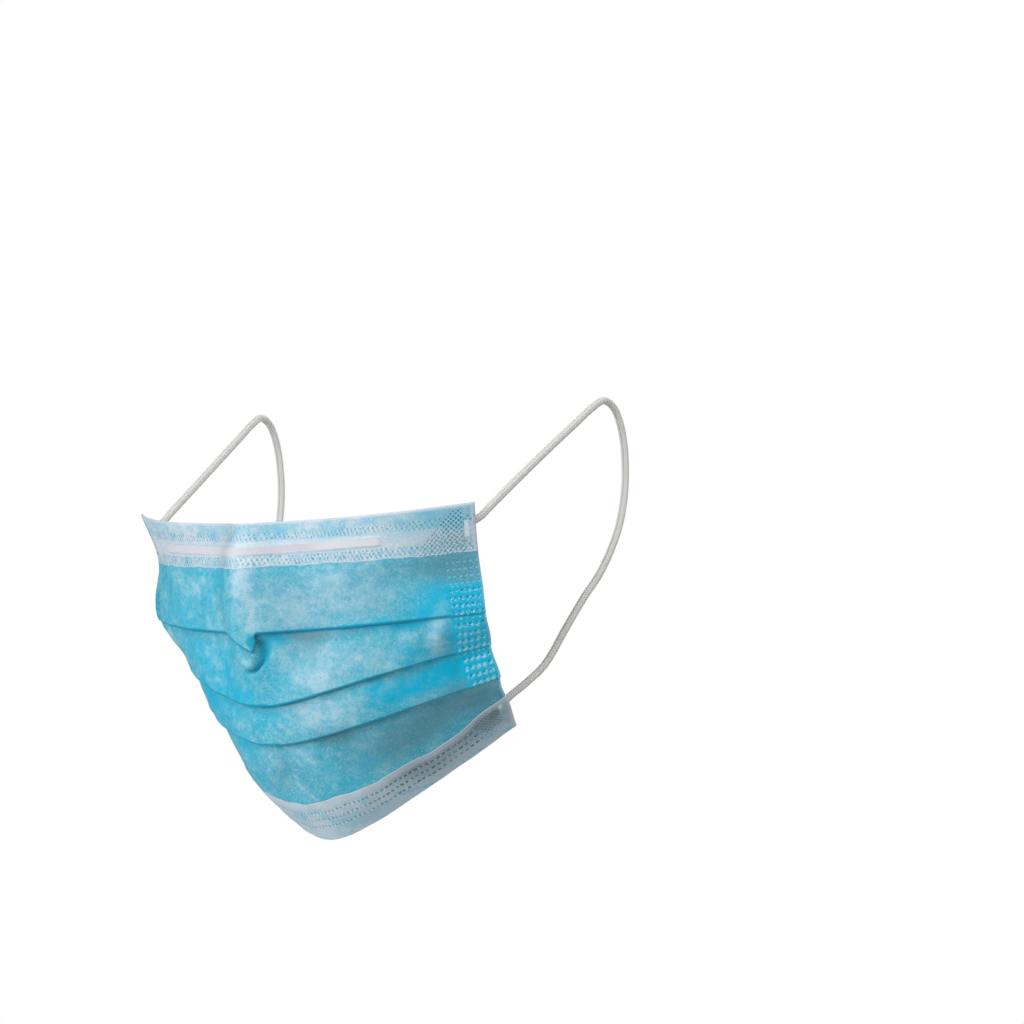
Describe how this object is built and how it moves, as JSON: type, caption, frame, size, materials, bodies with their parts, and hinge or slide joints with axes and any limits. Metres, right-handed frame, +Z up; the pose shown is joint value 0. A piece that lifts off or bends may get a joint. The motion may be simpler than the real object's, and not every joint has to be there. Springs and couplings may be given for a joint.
{
  "type": "pleated surgical face mask",
  "caption": "Pleated blue face mask in its worn shape, with white hems, a nose wire and round elastic ear loops.",
  "frame": {"origin": "middle of the top edge, where the mask sits on the bridge of the nose", "axes": "+Z up, the mask faces -Y, +X is the wearer's left"},
  "size_m": [0.1576, 0.1366, 0.1508],
  "materials": {
    "blue_cloth": "light blue nonwoven cloth, cloudy, with weld marks at the side edges",
    "white_cloth": "thin white nonwoven cloth with rows of weld dots, the blue showing through",
    "wire_strip": "flat white plastic-coated strip",
    "elastic": "round knitted white elastic"
  },
  "bodies": {
    "root": {"outer_panel": "blue_cloth", "top_hem": "white_cloth", "bottom_hem": "white_cloth", "nose_wire": "wire_strip", "ear_loop_left": "elastic", "ear_loop_right": "elastic"}
  },
  "joints": []
}
